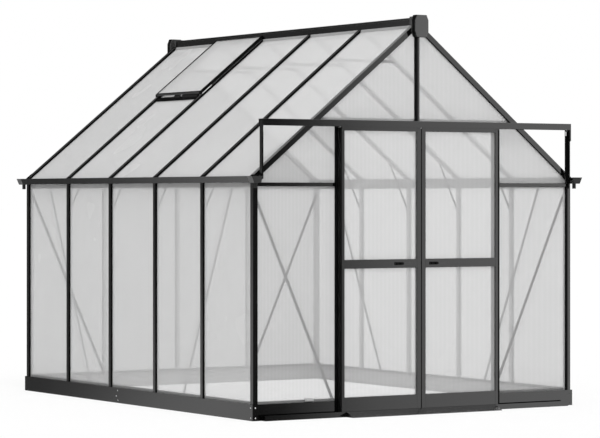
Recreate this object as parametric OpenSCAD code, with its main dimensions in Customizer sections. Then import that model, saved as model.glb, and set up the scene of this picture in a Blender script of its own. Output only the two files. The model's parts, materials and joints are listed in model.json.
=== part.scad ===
// Walk-in greenhouse: aluminium frame on a steel base, twin-wall sheet glazing,
// a pitched roof with one vent, and a pair of sliding doors in the front gable.
// Millimetres. +Z is up and the doors face -Y. The origin is at ground level,
// under the middle of the whole object.

/* [Bays] */
// Distance from one glazing bar to the next
bay = 600; // [480:10:760]
// Number of bays along each side wall
side_bays = 5; // [3:1:8]
// Bay of the left roof slope that holds the vent, counted from the front
vent_bay = 4; // [1:1:5]

/* [Heights] */
// Height of the line where the roof surface meets the outside of the walls
eave_h = 1488; // [1300:10:1800]
// Roof pitch in degrees
pitch = 38.7; // [30:0.1:45]
// Height of the base rails
base_h = 100; // [60:5:160]
// Height of the door head rail's upper edge above the eaves line
head_rail_rise = 345; // [200:1:370]

/* [Base] */
// Thickness of the base sheet metal
base_t = 2; // [1.5:0.5:4]
// Width of the base flanges
base_flange = 50; // [42:1:80]
// How far the base stands out beyond the wall posts
base_proud = 9; // [3:1:20]

/* [Glazing bars] */
// Width of the outer cap of a glazing bar
cap_w = 28; // [22:1:40]
// Depth of the outer cap, which is also how far the sheets are set back
sheet_inset = 14; // [8:1:20]
// Thickness of the twin-wall sheet
sheet_t = 4; // [4:1:8]
// Depth of a whole glazing bar
bar_d = 32; // [28:1:44]
// Width of the bar's web and stem
web_w = 6; // [3:1:8]
// Width of the flange behind the sheet
flange_w = 24; // [18:1:30]
// Thickness of the flange behind the sheet
flange_t = 3; // [2:0.5:5]
// Room left between the edge of a sheet and the bar's web
sheet_gap = 2; // [1:0.5:4]
// Wall thickness of the square corner posts
corner_t = 2; // [1.5:0.5:4]

/* [Eaves and ridge] */
// Width of the beam on top of the side walls
eave_beam_w = 30; // [24:1:40]
// Height of the beam's underside below the gutter floor
eave_beam_drop = 29; // [20:1:60]
// Depth of the gutter floor below the roof line at the wall
gutter_drop = 42; // [40:1:60]
// Height of the gutter's outer wall
gutter_h = 39; // [25:1:60]
// Width of the gutter floor, from the sheets outwards
gutter_floor_w = 43; // [36:1:80]
// How far the gutter's outer wall leans out
gutter_lean = 19; // [0:1:40]
// Thickness of the gutter's walls
gutter_t = 2; // [1.5:0.5:3]
// How far the gutter reaches beyond the end walls
gutter_reach = 59; // [45:1:120]
// Length of the sleeve of a gutter end cap
end_sleeve = 62; // [40:1:64]
// Thickness of the end caps' plates
end_plate_t = 7; // [3:1:10]
// Outer diameter of the gutter outlets
outlet_d = 24; // [16:1:30]
// Wall thickness of the gutter outlets
outlet_t = 2; // [1.5:0.5:3]
// Length of the gutter outlets below the gutter
outlet_len = 34; // [20:1:80]
// Width of the ridge beam
ridge_w = 50; // [40:1:80]
// Height of the ridge beam above the roof surface's peak
ridge_rise = 24; // [15:1:40]
// Height of the ridge beam's wider top lip
ridge_lip_h = 12; // [6:1:20]
// How far the ridge beam's top lip overhangs
ridge_lip = 4; // [2:1:8]
// How far the roof's lower edge reaches beyond the posts
roof_overhang = 10; // [5:1:14]
// Width of the ridge's end caps
ridge_cap_w = 100; // [80:2:140]
// Height of the ridge's end caps
ridge_cap_h = 139; // [110:1:170]
// Depth of the ridge's end caps, beyond the end walls
ridge_cap_d = 49; // [20:1:80]
// Height of the ridge's end caps above the ridge beam
ridge_cap_rise = 15; // [10:1:30]
// Thickness of the plates over the feet of the gable rafters
cover_t = 8; // [3:1:12]

/* [Vent] */
// Distance from the ridge to the vent's lower edge, measured level
vent_reach = 520; // [400:10:700]
// Angle at which the vent is held open, in degrees
vent_open = 0.2; // [0.2:0.1:12]
// Width of the vent's frame bars
vent_bar_w = 12; // [10:1:35]
// Depth of the vent's frame bars
vent_bar_d = 10; // [8:1:24]

/* [Braces] */
// Width of the flat bars
brace_w = 20; // [12:1:30]
// Thickness of the flat bars
brace_t = 3; // [2:0.5:5]
// Height of the knee braces' feet below the eave beams' underside
knee_drop = 165; // [80:5:300]
// Depth of the collar ties' upper edge below the ridge beam
collar_drop = 150; // [60:10:400]

/* [Doors] */
// Thickness of a door leaf
leaf_t = 25; // [20:1:32]
// Gap between the two leaves
leaf_gap = 6; // [5:1:12]
// Room between the foot covers and the back of the leaves
leaf_room = 9; // [6:1:20]
// How far a leaf laps over the middle of the door post
leaf_lap = 8; // [4:1:14]
// Width of the upright door stiles
stile_w = 30; // [24:1:45]
// Height of the lower edge of the leaves above the ground
leaf_floor = 20; // [15:1:24]
// Height of the upper edge of the bottom rail
bottom_rail_top = 120; // [80:1:180]
// Height of the middle of the mid rail
mid_rail_z = 942; // [800:1:1100]
// Height of the mid rail
mid_rail_h = 55; // [30:1:80]
// Height of the top rail
top_rail_h = 20; // [16:1:40]
// Distance of the left leaf's latch from its inner edge
left_latch_in = 140; // [50:5:200]
// Distance of the right leaf's latch from its inner edge
right_latch_in = 60; // [50:5:200]
// Distance of the rollers from the leaf's edges
roller_in = 80; // [50:5:150]
// Radius of the rollers
wheel_r = 10; // [8:1:10]
// Width of the rollers
wheel_t = 6; // [4:1:7]
// How far each leaf slides
travel = 540; // [300:5:575]

/* [Door tracks] */
// Height of the head rail
head_rail_h = 40; // [34:1:50]
// How far the head rail's face stands in front of the leaves
head_rail_lap = 12; // [8:1:30]
// Thickness of the head rail's walls
head_rail_t = 3; // [2:0.5:4]
// Height of the bottom track's lip
track_h = 33; // [26:1:45]
// Room between the leaves and the bottom track's lip
track_room = 5; // [5:1:12]
// Depth of the ramp, front to back
ramp_d = 75; // [50:5:150]

/* [Hidden] */

front_bays = 4;
round_fn = 48;
dark = [0.13, 0.13, 0.14];
mid_grey = [0.30, 0.30, 0.31];
sheet = [0.86, 0.88, 0.88, 0.55];

// The corner posts are square tubes as wide as the bars are deep
corner_w = bar_d;
// Outer faces of the wall posts, and of the base
post_x = front_bays * bay / 2 + corner_w / 2;
post_y = side_bays * bay / 2 + corner_w / 2;
base_x = post_x + base_proud;
base_y = post_y + base_proud;
// Depths inward from the posts' outer faces
sheet_back = sheet_inset + sheet_t;
flange_back = sheet_back + flange_t;
sheet_x = post_x - sheet_back;
// Inner faces of the corner posts
wall_in = post_x - corner_w;
sill_h = 12;
sill_rail_h = 14;
end_sleeve_t = 2;
// Foot covers: length along the eaves line, and depth square to the roof
cover_l = 77;
cover_d = 45;

// The roof surface is a plane for each slope: u is the level distance from the
// ridge, and n is the depth below the surface, square to it
apex_z = eave_h + post_x * tan(pitch);
function roof_z(u, n) = apex_z - u * tan(pitch) - n / cos(pitch);
function roof_u(z, n) = (apex_z - n / cos(pitch) - z) / tan(pitch);
roof_end = post_x + roof_overhang;
ridge_half = ridge_w / 2;
ridge_top = apex_z + ridge_rise;
ridge_bottom = roof_z(ridge_half, bar_d);

// Eaves
gutter_z = eave_h - gutter_drop;
eave_beam_z = gutter_z - eave_beam_drop;
gutter_y = post_y + gutter_reach;
gutter_out = sheet_x + gutter_floor_w;
gutter_lip = gutter_out + gutter_lean;
gutter_inner_top = roof_z(sheet_x + gutter_t, flange_back) - 2;
outlet_x = sheet_x + gutter_floor_w / 2;
outlet_y = gutter_y - end_sleeve / 2 + end_plate_t;
cap_y = gutter_y + end_plate_t;

// End walls
// Level bars of the end walls at eave height, whose rear part is taller
eave_bar_z = gutter_z - 20;
eave_bar_top = gutter_z - 2;
eave_bar_rear_z = eave_bar_z - 12;
eave_web_z = eave_bar_z + 6;
head_rail_top = eave_h + head_rail_rise;
gable_beam_z = head_rail_top - 38;
gable_beam_rear = gable_beam_z + 54;

// Doors
doorway = front_bays * bay / 4;
leaf_back = post_y + cover_t + leaf_room;
leaf_front = leaf_back + leaf_t;
leaf_in = leaf_gap / 2;
leaf_out = doorway + leaf_lap;
leaf_top = head_rail_top - head_rail_h - 5;
head_y = leaf_front + head_rail_lap;
stay_t = 4;
stay_w = 24;
stay_d = 36;
head_half = leaf_out + travel + 8 + stay_w - stay_t;
track_y = leaf_front + track_room + head_rail_t;
track_half = head_half - 16;
ramp_half = doorway - 30;
door_post_in = doorway - cap_w / 2;

latch_w = 60;

// The ramp reaches further forward than the gutters reach back, so the house
// stands this far behind the origin to keep the whole object centred on it
ramp_y = track_y + ramp_d;
house_y = (ramp_y - cap_y) / 2;

// Vent: it turns on a line just outside the ridge beam, on its own underside
vent_lift = 9;
vent_skirt = 5;
vent_hinge_u = ridge_half + 1.2;
vent_hinge_z = roof_z(vent_hinge_u, -vent_lift);
vent_rail_u = vent_bar_w * cos(pitch);
vent_sill_w = 16;
vent_sill_u = vent_reach + 10;
vent_mid = (vent_bay - (side_bays + 1) / 2) * bay;
vent_y0 = vent_mid - bay / 2 - 3;
vent_y1 = vent_mid + bay / 2 + 3;
function vent_under_z(u) = vent_hinge_z - (u - vent_hinge_u) * tan(pitch - vent_open);

// Top of the end walls' braces
brace_head_z = eave_bar_rear_z - 44;

// Door running gear: the wheels run just above a ledge inside the head rail
ledge_z = head_rail_top - head_rail_h + 8;
ledge_d = 13;
wheel_gap = 0.3;
wheel_y = post_y + head_rail_t + 5;
axle_z = ledge_z + wheel_gap + wheel_r;
axle_r = 3;
hanger_y = wheel_y + wheel_t + 8;
hanger_t = 4;
track_floor = 4;
shoe_gap = 5.5;
cover_foot_z = roof_z(head_half + stay_t, cover_d) + 8;

// A box from its lowest to its highest corner
module block(lo, hi) {
    translate(lo) cube(hi - lo);
}

// Turns an outline drawn in X and Z into a bar from y0 to y1
module along_y(y0, y1) {
    translate([0, y1, 0]) rotate([90, 0, 0]) linear_extrude(y1 - y0) children();
}

// Turns an outline drawn in Y and Z into a bar from x0 to x1
module along_x(x0, x1) {
    translate([x0, 0, 0]) rotate([90, 0, 90]) linear_extrude(x1 - x0) children();
}

// Draws its children as they are and mirrored in X
module both_sides() {
    children();
    mirror([1, 0, 0]) children();
}

// Draws its children as they are and mirrored in Y
module both_ends() {
    children();
    mirror([0, 1, 0]) children();
}

module left_side() {
    mirror([1, 0, 0]) children();
}

// Places a wall drawn with X along it, Y inward from the posts' outer faces
module front_wall() {
    translate([0, -post_y, 0]) children();
}

module back_wall() {
    translate([0, post_y, 0]) mirror([0, 1, 0]) children();
}

module right_wall() {
    translate([post_x, 0, 0]) rotate([0, 0, 90]) children();
}

module left_wall() {
    translate([-post_x, 0, 0]) rotate([0, 0, -90]) children();
}

// Positions of the bars between the corners of a wall of so many bays
function bar_places(bays) = [for (i = [1:bays - 1]) (i - bays / 2) * bay];
function half_run(bays) = bays * bay / 2;

// Cross-section of a glazing bar: outer cap, web, flange and stem
module bar_section() {
    translate([-cap_w / 2, 0]) square([cap_w, sheet_inset]);
    translate([-web_w / 2, 0]) square([web_w, bar_d]);
    translate([-flange_w / 2, sheet_back]) square([flange_w, flange_t]);
}

// An upright glazing bar whose cap runs on above its stem
module wall_bar(s, z0, z_stem, z_cap) {
    translate([s, 0, z0]) linear_extrude(z_stem - z0) bar_section();
    translate([s - cap_w / 2, 0, z_stem]) cube([cap_w, sheet_inset, z_cap - z_stem]);
}

// A slab of one roof slope: level distances u0 to u1, depths n0 to n1
module slope_slab(u0, u1, n0, n1, y0, y1) {
    along_y(y0, y1) polygon([
        [u0, roof_z(u0, n0)], [u1, roof_z(u1, n0)],
        [u1, roof_z(u1, n1)], [u0, roof_z(u0, n1)]
    ]);
}

// Base ---------------------------------------------------------------------

// C-section of a base rail, opening inward, with its web on the outside
module base_section(outer) {
    inner = outer - base_flange;
    polygon([
        [outer, 0], [outer, base_h], [inner, base_h], [inner, base_h - base_t],
        [outer - base_t, base_h - base_t], [outer - base_t, base_t],
        [inner, base_t], [inner, 0]
    ]);
}

// What a mitre takes off at the corner of the base, turned to either rail
module mitre_waste(turn) {
    translate([base_x, base_y, -1]) rotate([0, 0, turn]) translate([-2 * base_flange, 0, 0])
        cube([4 * base_flange, 4 * base_flange, base_h + 2]);
}

module side_base_rails() {
    color(mid_grey) both_sides() difference() {
        along_y(-base_y, base_y) base_section(base_x);
        both_ends() mitre_waste(45);
    }
}

module end_base_rails() {
    color(mid_grey) {
        difference() {
            along_x(-base_x, base_x) base_section(base_y);
            both_sides() mitre_waste(-135);
        }
        both_sides() mirror([0, 1, 0]) difference() {
            along_x(door_post_in, base_x) base_section(base_y);
            mitre_waste(-135);
        }
    }
}

module door_sill() {
    color(mid_grey)
        block([-door_post_in, -base_y, 0], [door_post_in, -base_y + base_flange, sill_h]);
}

// Low rails behind the sheets of a wall, one to a bay
module sill_rail_run(bays, skipped = []) {
    corner_in = half_run(bays) - corner_w / 2 - flange_w / 2;
    for (i = [0:bays - 1]) if (len(search(i, skipped)) == 0) {
        s = (i - bays / 2) * bay;
        s0 = max(s + flange_w / 2, -corner_in);
        s1 = min(s + bay - flange_w / 2, corner_in);
        block([s0, sheet_back, base_h], [s1, bar_d, base_h + sill_rail_h]);
    }
}

module panel_sill_rails() {
    color(dark) {
        left_wall() sill_rail_run(side_bays);
        right_wall() sill_rail_run(side_bays);
        back_wall() sill_rail_run(front_bays);
        front_wall() sill_rail_run(front_bays, [1, 2]);
    }
}

// Upright frame ------------------------------------------------------------

// Corner post: a square tube with a ledge behind the sheet of each wall, and a
// block on its inner half that carries the foot of the gable rafter
module corner_post() {
    inner = corner_w - 2 * corner_t;
    ledge = flange_w / 2;
    x0 = post_x - corner_w;
    y0 = post_y - corner_w;
    translate([x0, y0, base_h]) linear_extrude(gutter_z - base_h) {
        difference() {
            square(corner_w);
            translate([corner_t, corner_t]) square(inner);
        }
    }
    translate([x0, y0, base_h]) linear_extrude(eave_bar_rear_z - base_h) {
        translate([corner_w - flange_back, -ledge]) square([flange_t, ledge]);
        translate([-ledge, corner_w - flange_back]) square([ledge, flange_t]);
    }
    along_y(y0, post_y) polygon([
        [x0, gutter_z], [sheet_x, gutter_z], [sheet_x, roof_z(sheet_x, bar_d)], [x0, roof_z(x0, bar_d)]
    ]);
}

module corner_posts() {
    color(dark) both_sides() both_ends() corner_post();
}

module side_wall_posts() {
    color(dark) {
        left_wall() side_bar_run();
        right_wall() side_bar_run();
    }
}

module side_bar_run() {
    for (s = bar_places(side_bays)) wall_bar(s, base_h, eave_beam_z, gutter_z);
}

module back_wall_posts() {
    color(dark) back_wall()
        for (s = bar_places(front_bays)) wall_bar(s, base_h, eave_bar_rear_z, eave_bar_z);
}

module door_posts() {
    color(dark) front_wall()
        for (s = [-doorway, doorway]) wall_bar(s, base_h, gable_beam_z, gable_beam_z);
}

// Eaves --------------------------------------------------------------------

module eave_beams() {
    inner = sheet_x - eave_beam_w;
    half_l = post_y - corner_w;
    color(dark) both_sides() along_y(-half_l, half_l) polygon([
        [inner, eave_beam_z], [sheet_x, eave_beam_z],
        [sheet_x, roof_z(sheet_x, bar_d)], [inner, roof_z(inner, bar_d)]
    ]);
}

// Outline of the gutter's metal, with its floor outside the eave beam
module gutter_section() {
    lean = gutter_t * gutter_lean / gutter_h;
    polygon([
        [sheet_x, gutter_z], [gutter_out, gutter_z], [gutter_lip, gutter_z + gutter_h],
        [gutter_lip - gutter_t, gutter_z + gutter_h],
        [gutter_out - gutter_t + lean, gutter_z + gutter_t],
        [sheet_x + gutter_t, gutter_z + gutter_t],
        [sheet_x + gutter_t, gutter_inner_top], [sheet_x, gutter_inner_top]
    ]);
}

module outlet_bore() {
    translate([outlet_x, outlet_y, gutter_z - outlet_len - 1])
        cylinder(h = outlet_len + gutter_t + 2, d = outlet_d - 2 * outlet_t, $fn = round_fn);
}

module gutters() {
    color(dark) both_sides() difference() {
        along_y(-gutter_y, gutter_y) gutter_section();
        both_ends() outlet_bore();
    }
}

// End cap: a plate over the gutter's end, a sleeve round it and the outlet
module gutter_end_cap() {
    plate_in = wall_in + corner_t;
    difference() {
        union() {
            along_y(gutter_y, cap_y) polygon([
                [sheet_x, gutter_z - end_sleeve_t], [gutter_out + end_sleeve_t, gutter_z - end_sleeve_t],
                [gutter_lip + end_sleeve_t, gutter_z + gutter_h], [plate_in, gutter_z + gutter_h]
            ]);
            along_y(cap_y - end_sleeve, gutter_y + 1) polygon([
                [sheet_x, gutter_z - end_sleeve_t], [gutter_out + end_sleeve_t, gutter_z - end_sleeve_t],
                [gutter_lip + end_sleeve_t, gutter_z + gutter_h], [gutter_lip, gutter_z + gutter_h],
                [gutter_out, gutter_z], [sheet_x, gutter_z]
            ]);
            translate([outlet_x, outlet_y, gutter_z - outlet_len])
                cylinder(h = outlet_len - 1, d = outlet_d, $fn = round_fn);
        }
        outlet_bore();
    }
}

module gutter_end_caps() {
    color(mid_grey) both_sides() both_ends() gutter_end_cap();
}

// Plates over the feet of the gable rafters, their upper ends cut square to the roof
module corner_covers() {
    low_in = roof_end - cover_l;
    top_in = low_in + cover_d * sin(pitch);
    color(dark) both_sides() both_ends() along_y(post_y, post_y + cover_t) polygon([
        [top_in, roof_z(top_in, 0)], [roof_end, roof_z(roof_end, 0)],
        [roof_end, roof_z(roof_end, flange_back)], [sheet_x, roof_z(sheet_x, flange_back)],
        [sheet_x, roof_z(sheet_x, cover_d)], [low_in, roof_z(low_in, cover_d)]
    ]);
}

// Roof frame ---------------------------------------------------------------

module ridge_beam() {
    lip_x = ridge_half + ridge_lip;
    color(dark) along_y(-post_y, post_y) polygon([
        [-ridge_half, ridge_bottom], [ridge_half, ridge_bottom],
        [ridge_half, ridge_top - ridge_lip_h], [lip_x, ridge_top - ridge_lip_h],
        [lip_x, ridge_top], [-lip_x, ridge_top],
        [-lip_x, ridge_top - ridge_lip_h], [-ridge_half, ridge_top - ridge_lip_h]
    ]);
}

// End cap of the ridge: an eight-sided block with a saddle over the beam
module ridge_end_caps() {
    half_w = ridge_cap_w / 2;
    top = ridge_top + ridge_cap_rise;
    bottom = top - ridge_cap_h;
    chamfer_x = 14;
    chamfer_z = 34;
    // The saddle: cheeks beside the beam's lip and a plate on its top
    saddle_x = ridge_half + ridge_lip + 2;
    saddle_l = 44;
    saddle_bottom = roof_z(ridge_half, 0) + 1;
    saddle_top = ridge_top + 8;
    color(mid_grey) both_ends() {
        along_y(post_y, post_y + ridge_cap_d) polygon([
            [-half_w + chamfer_x, bottom], [half_w - chamfer_x, bottom],
            [half_w, bottom + chamfer_z], [half_w, top - chamfer_z],
            [half_w - chamfer_x, top], [-half_w + chamfer_x, top],
            [-half_w, top - chamfer_z], [-half_w, bottom + chamfer_z]
        ]);
        difference() {
            block([-saddle_x, post_y - saddle_l, saddle_bottom], [saddle_x, post_y, saddle_top]);
            block([-ridge_half - ridge_lip, -2 * post_y, 0], [ridge_half + ridge_lip, 2 * post_y, ridge_top]);
        }
    }
}

// A rafter with the same section as the wall bars
module rafter(y) {
    slope_slab(ridge_half, roof_end, 0, sheet_inset, y - cap_w / 2, y + cap_w / 2);
    slope_slab(ridge_half, roof_end, 0, flange_back, y - web_w / 2, y + web_w / 2);
    slope_slab(ridge_half, roof_end, sheet_back, flange_back, y - flange_w / 2, y + flange_w / 2);
    slope_slab(ridge_half, sheet_x, 0, bar_d, y - web_w / 2, y + web_w / 2);
}

module rafters() {
    color(dark) both_sides() for (y = bar_places(side_bays)) rafter(y);
}

// Rafter of an end wall: a deep bar with a ledge under the roof sheet
module gable_rafter() {
    inner = post_y - corner_w;
    slope_slab(ridge_half, sheet_x, 0, bar_d, inner, post_y);
    slope_slab(sheet_x, roof_end, 0, flange_back, inner, post_y);
    slope_slab(ridge_half, roof_end, sheet_back, flange_back, inner - flange_w / 2, inner);
}

module gable_rafters() {
    color(dark) both_sides() both_ends() gable_rafter();
}

// End walls ----------------------------------------------------------------

// Bar of an end wall from one rafter to the other, with sloping ends
module gable_bar(z0, z1, t0, t1) {
    u0 = roof_u(z0, bar_d);
    u1 = roof_u(z1, bar_d);
    translate([0, t0, 0]) along_y(0, t1 - t0) polygon([[-u0, z0], [u0, z0], [u1, z1], [-u1, z1]]);
}

// Beam over the doors, which carries the head rail
module gable_beam() {
    color(dark) front_wall() {
        gable_bar(gable_beam_z, head_rail_top, 0, bar_d);
        gable_bar(gable_beam_z, gable_beam_rear, sheet_back, bar_d);
    }
}

// Level bar at eave height from s0 to s1: cap, web and a taller rear part
module eave_bar(s0, s1) {
    block([s0, 0, eave_bar_z], [s1, sheet_inset, eave_bar_top]);
    block([s0, sheet_inset, eave_web_z], [s1, sheet_back, eave_web_z + web_w]);
    block([s0, sheet_back, eave_bar_rear_z], [s1, bar_d, eave_bar_top]);
}

module end_eave_bars() {
    color(dark) {
        back_wall() eave_bar(-wall_in, wall_in);
        front_wall() both_sides() eave_bar(doorway + cap_w / 2, wall_in);
    }
}

// Upright bar of a gable from the bar below it to the ridge
module mullion(z_cap, z_rear) {
    translate([0, 0, z_cap]) linear_extrude(ridge_bottom - z_cap)
        translate([-cap_w / 2, 0]) square([cap_w, sheet_inset]);
    translate([0, 0, z_cap]) linear_extrude(ridge_bottom - z_cap)
        translate([-web_w / 2, 0]) square([web_w, sheet_back]);
    translate([0, 0, z_rear]) linear_extrude(ridge_bottom - z_rear)
        translate([0, sheet_back]) {
            translate([-flange_w / 2, 0]) square([flange_w, flange_t]);
            translate([-web_w / 2, 0]) square([web_w, bar_d - sheet_back]);
        }
}

module gable_mullions() {
    color(dark) {
        front_wall() mullion(head_rail_top, gable_beam_rear);
        back_wall() mullion(eave_bar_top, eave_bar_top);
    }
}

// Sheets -------------------------------------------------------------------

// Edges of the sheet in bay i of a run of bays
function sheet_lo(i, bays) = i == 0
    ? -half_run(bays) + corner_w / 2 + sheet_gap
    : (i - bays / 2) * bay + web_w / 2 + sheet_gap;
function sheet_hi(i, bays) = -sheet_lo(bays - 1 - i, bays);

module wall_sheets(bays, picked, z1) {
    for (i = picked)
        block([sheet_lo(i, bays), sheet_inset, base_h], [sheet_hi(i, bays), sheet_back, z1]);
}

module side_wall_panels() {
    color(sheet) both_sides() right_wall() wall_sheets(side_bays, [0:side_bays - 1], gutter_z);
}

module end_wall_panels() {
    color(sheet) {
        back_wall() wall_sheets(front_bays, [0:front_bays - 1], eave_web_z);
        front_wall() wall_sheets(front_bays, [0, front_bays - 1], eave_web_z);
    }
}

// Sheets of one slope in the picked bays, counted from the front
module roof_sheets(picked, u0) {
    for (i = picked)
        slope_slab(u0, roof_end, sheet_inset, sheet_back, sheet_lo(i, side_bays), sheet_hi(i, side_bays));
}

module roof_panels() {
    vent_i = vent_bay - 1;
    color(sheet) {
        roof_sheets([0:side_bays - 1], ridge_half);
        left_side() {
            roof_sheets([for (i = [0:side_bays - 1]) if (i != vent_i) i], ridge_half);
            roof_sheets([vent_i], vent_sill_u);
        }
    }
}

// A sheet of an end wall, drawn in X and Z
module gable_sheet(points) {
    translate([0, sheet_inset, 0]) along_y(0, sheet_t) polygon(points);
}

// Half of a gable's sheeting, from its mullion out, on a bar at height z0
module front_half_sheet(z0) {
    edge = web_w / 2 + sheet_gap;
    gable_sheet([
        [edge, z0], [roof_u(z0, bar_d), z0], [ridge_half, ridge_bottom], [edge, ridge_bottom]
    ]);
}

module back_half_sheet(z0) {
    edge = web_w / 2 + sheet_gap;
    reach = wall_in - sheet_gap;
    gable_sheet([
        [edge, z0], [reach, z0], [reach, roof_z(reach, bar_d)],
        [ridge_half, ridge_bottom], [edge, ridge_bottom]
    ]);
}

// The sheet beside the doors, from the eave bar up to the rafter and the beam
module front_end_sheet(z0) {
    edge = doorway + web_w / 2 + sheet_gap;
    reach = wall_in - sheet_gap;
    gable_sheet([
        [edge, z0], [reach, z0], [reach, roof_z(reach, bar_d)],
        [roof_u(gable_beam_z, bar_d), gable_beam_z], [edge, gable_beam_z]
    ]);
}

module gable_panels() {
    bar_sheet_z = eave_web_z + web_w;
    color(sheet) both_sides() {
        front_wall() {
            front_end_sheet(bar_sheet_z);
            front_half_sheet(head_rail_top);
        }
        back_wall() back_half_sheet(bar_sheet_z);
    }
}

// Vent ---------------------------------------------------------------------

// Turns a part of the vent, drawn shut on the right slope, to its open angle
module vent_turned() {
    left_side() translate([vent_hinge_u, 0, vent_hinge_z]) rotate([0, -vent_open, 0])
        translate([-vent_hinge_u, 0, -vent_hinge_z]) children();
}

module vent_slab(u0, u1, n0, n1, y0, y1) {
    vent_turned() slope_slab(u0, u1, -vent_lift - vent_bar_d + n0, -vent_lift - vent_bar_d + n1, y0, y1);
}

// The stiles reach lower than the rails, down beside the bay
module vent_stiles() {
    depth = vent_bar_d + vent_skirt;
    color(dark) {
        vent_slab(vent_hinge_u, vent_reach, 0, depth, vent_y0, vent_y0 + vent_bar_w);
        vent_slab(vent_hinge_u, vent_reach, 0, depth, vent_y1 - vent_bar_w, vent_y1);
    }
}

module vent_rails() {
    y0 = vent_y0 + vent_bar_w;
    y1 = vent_y1 - vent_bar_w;
    color(dark) {
        vent_slab(vent_hinge_u, vent_hinge_u + vent_rail_u, 0, vent_bar_d, y0, y1);
        vent_slab(vent_reach - vent_rail_u, vent_reach, 0, vent_bar_d, y0, y1);
    }
}

module vent_pane() {
    n0 = (vent_bar_d - sheet_t) / 2;
    color(sheet) vent_slab(vent_hinge_u + vent_rail_u, vent_reach - vent_rail_u, n0, n0 + sheet_t,
        vent_y0 + vent_bar_w, vent_y1 - vent_bar_w);
}

// Bar across the bay that closes the roof sheet below the vent
module vent_sill() {
    color(dark) left_side() slope_slab(vent_sill_u - vent_sill_w * cos(pitch), vent_sill_u, 0,
        flange_back, vent_mid - bay / 2 + cap_w / 2, vent_mid + bay / 2 - cap_w / 2);
}

// Wedge that fills the gap between the sill and the vent's lower rail, all but
// a hair's breadth above and below
module vent_wedge(y0, y1) {
    inset = 1;
    hair = 0.02;
    u0 = vent_reach - vent_rail_u + inset;
    u1 = vent_sill_u - inset;
    left_side() along_y(y0, y1) polygon([
        [u0, roof_z(u0, 0) + hair], [u1, roof_z(u1, 0) + hair],
        [u1, vent_under_z(u1) - hair], [u0, vent_under_z(u0) - hair]
    ]);
}

// Catch in the middle of the vent, and the arm that runs from it to the front
module vent_stay() {
    catch_half = 35;
    arm_gap = 34;
    color(dark) {
        vent_wedge(vent_mid - catch_half, vent_mid + catch_half);
        vent_wedge(vent_y0 + vent_bar_w + 10, vent_mid - catch_half - arm_gap);
    }
}

// Braces -------------------------------------------------------------------

// Flat bar from (s0, z0) up to (s1, z1), cut level at both ends, lying on the
// inner faces of the posts
module brace(s0, z0, s1, z1) {
    half = brace_w / 2;
    translate([0, bar_d, 0]) along_y(0, brace_t)
        polygon([[s0 - half, z0], [s0 + half, z0], [s1 + half, z1], [s1 - half, z1]]);
}

// A pair of braces that lean away from each other up to the corners
module brace_pair(foot, head, z1) {
    both_sides() brace(foot, base_h, head, z1);
}

module wall_braces() {
    // On the side walls the braces cross one bay from the middle of the last one
    side_head = half_run(side_bays) - bay / 2 + brace_w;
    side_foot = side_head - bay;
    // On the end walls they run from the corner posts to the next posts' feet
    end_head = sheet_x - flange_t - brace_w / 2;
    end_foot = doorway + brace_w / 2 + web_w;
    color(mid_grey) {
        left_wall() brace_pair(side_foot, side_head, eave_beam_z);
        right_wall() brace_pair(side_foot, side_head, eave_beam_z);
        back_wall() brace_pair(end_foot, end_head, brace_head_z);
        front_wall() brace_pair(end_foot, end_head, brace_head_z);
    }
}

// Slanted strut beside the stems of a post and its rafter
module knee_brace(y) {
    x0 = post_x - flange_back;
    z0 = eave_beam_z - knee_drop;
    z1 = z0 + brace_w * sqrt(2);
    u0 = x0 - knee_drop;
    u1 = u0 + brace_w * sin(45) * cos(pitch);
    along_y(y + web_w / 2, y + web_w / 2 + brace_t)
        polygon([[x0, z0], [x0, z1], [u1, roof_z(u1, flange_back)], [u0, roof_z(u0, flange_back)]]);
}

module knee_braces() {
    color(mid_grey) both_sides() for (y = bar_places(side_bays)) knee_brace(y);
}

// Level bars between the rafters of a pair, below the ridge
module collar_ties() {
    z1 = ridge_bottom - collar_drop;
    u0 = roof_u(z1 - brace_w, flange_back);
    u1 = roof_u(z1, flange_back);
    color(mid_grey) for (y = bar_places(side_bays))
        along_y(y - web_w / 2 - brace_t, y - web_w / 2)
            polygon([[-u0, z1 - brace_w], [u0, z1 - brace_w], [u1, z1], [-u1, z1]]);
}

// Door tracks --------------------------------------------------------------

// Head rail: a channel open below, with a ledge for the rollers inside
module door_head_rail() {
    z0 = head_rail_top - head_rail_h;
    t = head_rail_t;
    color(dark) mirror([0, 1, 0]) along_x(-head_half, head_half) polygon([
        [post_y, z0], [post_y, head_rail_top], [head_y, head_rail_top], [head_y, z0],
        [head_y - t, z0], [head_y - t, head_rail_top - t], [post_y + t, head_rail_top - t],
        [post_y + t, ledge_z], [post_y + t + ledge_d, ledge_z],
        [post_y + t + ledge_d, ledge_z - t], [post_y + t, ledge_z - t], [post_y + t, z0]
    ]);
}

// Angles that close the head rail's ends and carry them on the corner covers
module rail_stays() {
    foot = cover_foot_z;
    step_z = head_rail_top - 113;
    rail_z = head_rail_top - head_rail_h;
    out = head_half + stay_t;
    front = -head_y + 10;
    back = -head_y + stay_d;
    tab_h = 40;
    slot = [8, stay_t + 2, 28];
    slot_drop = 38;
    color(dark) both_sides() {
        block([head_half, -head_y, step_z], [out, back, head_rail_top]);
        block([head_half, front, foot], [out, back, step_z]);
        block([head_half, front, foot], [out, -post_y - cover_t, foot + tab_h]);
        difference() {
            block([out - stay_w, back - stay_t, foot], [out, back, rail_z]);
            translate([out - stay_w + 4, back - stay_t - 1, rail_z - slot_drop]) cube(slot);
        }
    }
}

module bottom_track() {
    t = head_rail_t;
    color(dark) mirror([0, 1, 0]) along_x(-track_half, track_half) polygon([
        [base_y, 0], [track_y, 0], [track_y, track_h], [track_y - t, track_h],
        [track_y - t, track_floor], [base_y, track_floor]
    ]);
}

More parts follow.
